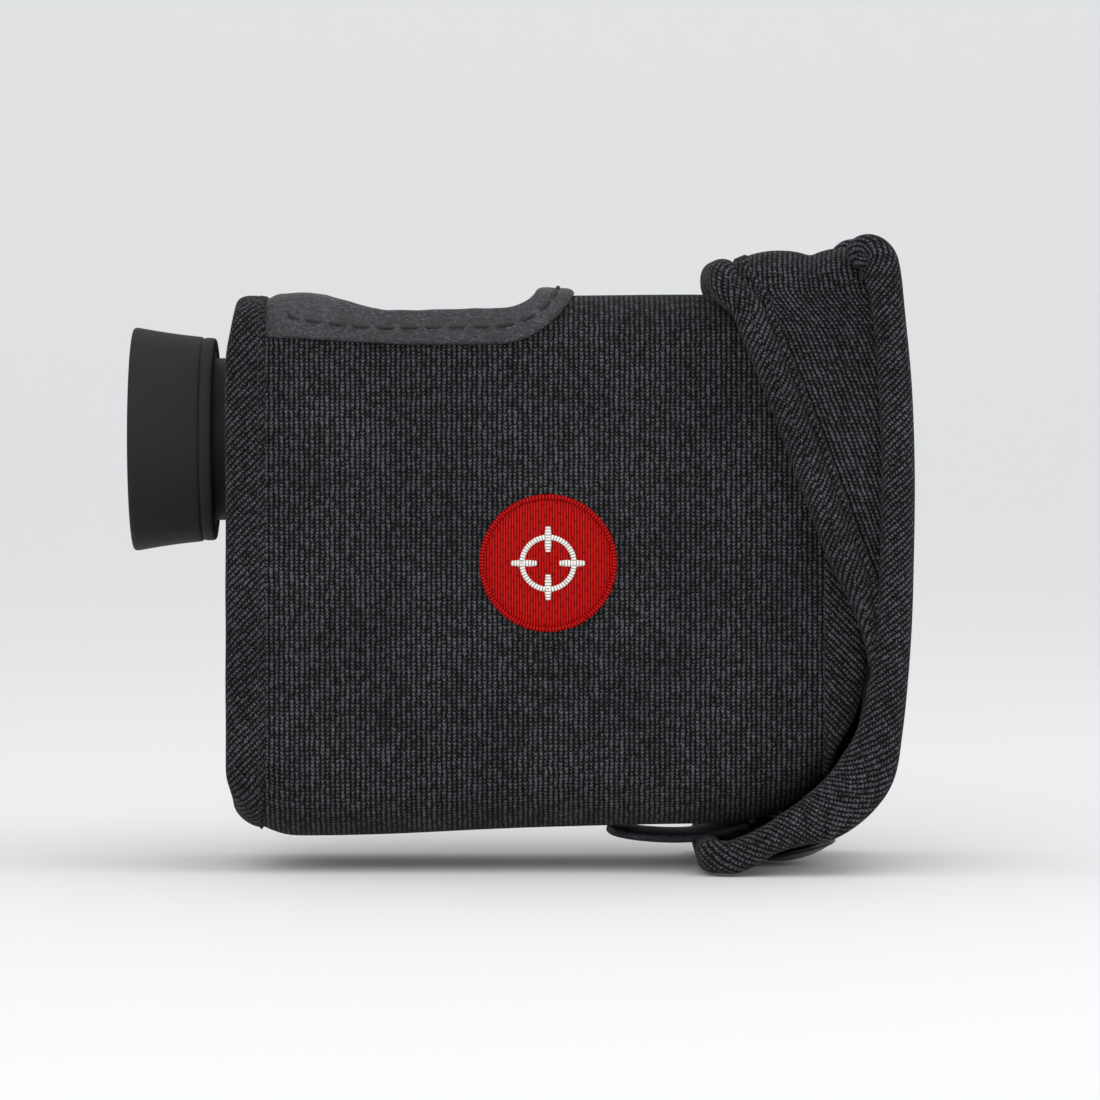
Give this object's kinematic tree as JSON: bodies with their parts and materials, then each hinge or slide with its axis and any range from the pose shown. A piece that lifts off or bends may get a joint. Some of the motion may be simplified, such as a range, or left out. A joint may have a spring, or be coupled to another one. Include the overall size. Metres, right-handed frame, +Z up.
{
  "type": "laser rangefinder",
  "caption": "Handheld laser rangefinder with a flared eyecup, in a ribbed soft sleeve with a button window, a swing-down front hood and a snap tail.",
  "frame": {"origin": "on the ground, under the middle of the whole object's box", "axes": "+X from the eyepiece towards the target, +Z up, -Y the side with the round patch"},
  "size_m": [0.121, 0.05, 0.0973],
  "materials": {
    "housing": "fine moulded grain",
    "seal": "smooth matte",
    "bezel": "satin",
    "screws": "bright",
    "barrels": "black anodised",
    "lenses": "coated",
    "laser_glass": "red coated",
    "metal_can": "plated",
    "inner_plastic": "moulded",
    "display": "clear",
    "eyepiece": "smooth moulded",
    "eyecup": "fine matte grain",
    "button": "matte",
    "circuit_board": "solder mask",
    "battery": "printed sleeve",
    "spring": "plated wire",
    "cap": "moulded",
    "sleeve_cloth": "ribbed knit over foam",
    "binding": "bias knit tape",
    "leather": "pebbled",
    "patch": "satin-stitch embroidery",
    "snap": "polished",
    "snap_metal": "black nickel"
  },
  "bodies": {
    "finder": {"housing_left_shell": "housing", "housing_right_shell": "housing", "housing_gasket": "seal", "front_bezel": "bezel", "housing_screws": "screws", "lanyard_bar": "screws", "objective_barrel": "barrels", "objective_lens": "lenses", "laser_barrel": "barrels", "laser_lens": "laser_glass", "laser_module": "metal_can", "receiver_detector": "metal_can", "roof_prism": "lenses", "prism_holder": "inner_plastic", "display_module": "display", "eyepiece_tube": "eyepiece", "button_seal": "seal", "tact_switches": "inner_plastic", "switch_board": "circuit_board", "main_circuit_board": "circuit_board", "battery": "battery", "battery_tube": "inner_plastic", "battery_contact_spring": "spring"},
    "diopter": {"diopter_ring": "eyepiece", "eyecup": "eyecup"},
    "ocular": {"ocular_cell": "barrels", "ocular_lenses": "lenses"},
    "measure_key": {"measure_button": "button"},
    "mode_key": {"mode_button": "button"},
    "battery_door": {"battery_cap": "cap", "battery_cap_seal": "seal"},
    "sleeve": {"sleeve_body": "sleeve_cloth", "sleeve_front_binding": "binding", "sleeve_rear_binding": "binding", "window_leather_trim": "leather", "round_patch": "patch", "snap_stud": "snap_metal"},
    "hood": {"hood_front_panel": "sleeve_cloth", "hood_roof_panel": "sleeve_cloth", "hood_left_gusset": "sleeve_cloth", "hood_right_gusset": "sleeve_cloth", "hood_left_edge_binding": "binding", "hood_right_edge_binding": "binding", "hood_mouth_binding": "binding"},
    "tail": {"tail_panel": "sleeve_cloth", "tail_edge_binding": "binding", "snap_cap": "snap", "snap_socket": "snap_metal", "pull_tab": "leather"}
  },
  "joints": [
    {"name": "diopter_turn", "type": "hinge", "parent": "finder", "child": "diopter", "pos_m": [-0.05, 0, 0.0663], "axis": [1, 0, 0], "range_deg": [-50, 50]},
    {"name": "ocular_creep", "type": "slide", "parent": "finder", "child": "ocular", "axis": [1, 0, 0], "range_m": [-0.00105, 0.00105]},
    {"name": "measure_press", "type": "slide", "parent": "finder", "child": "measure_key", "axis": [0, 0, -1], "range_m": [0, 0.0008], "stiffness_N_per_m": 600, "springref_m": -0.0015},
    {"name": "mode_press", "type": "slide", "parent": "finder", "child": "mode_key", "axis": [0, 0, -1], "range_m": [0, 0.0008], "stiffness_N_per_m": 600, "springref_m": -0.0015},
    {"name": "battery_cap_turn", "type": "hinge", "parent": "finder", "child": "battery_door", "pos_m": [-0.042, 0, 0.026], "axis": [1, 0, 0], "range_deg": [0, 90]},
    {"name": "sleeve_slide", "type": "slide", "parent": "finder", "child": "sleeve", "axis": [1, 0, 0], "range_m": [0, 0.11]},
    {"name": "hood_swing", "type": "hinge", "parent": "sleeve", "child": "hood", "pos_m": [0.05079, 0, 0.01008], "axis": [0, 1, 0], "range_deg": [0, 90]},
    {"name": "tail_peel", "type": "hinge", "parent": "sleeve", "child": "tail", "pos_m": [0.05079, 0, 0.01008], "axis": [0, -1, 0], "range_deg": [0, 30]}
  ],
  "couplings": [
    {"joint": "ocular_creep", "follows": "diopter_turn", "m_per_rad": 0.00114}
  ]
}
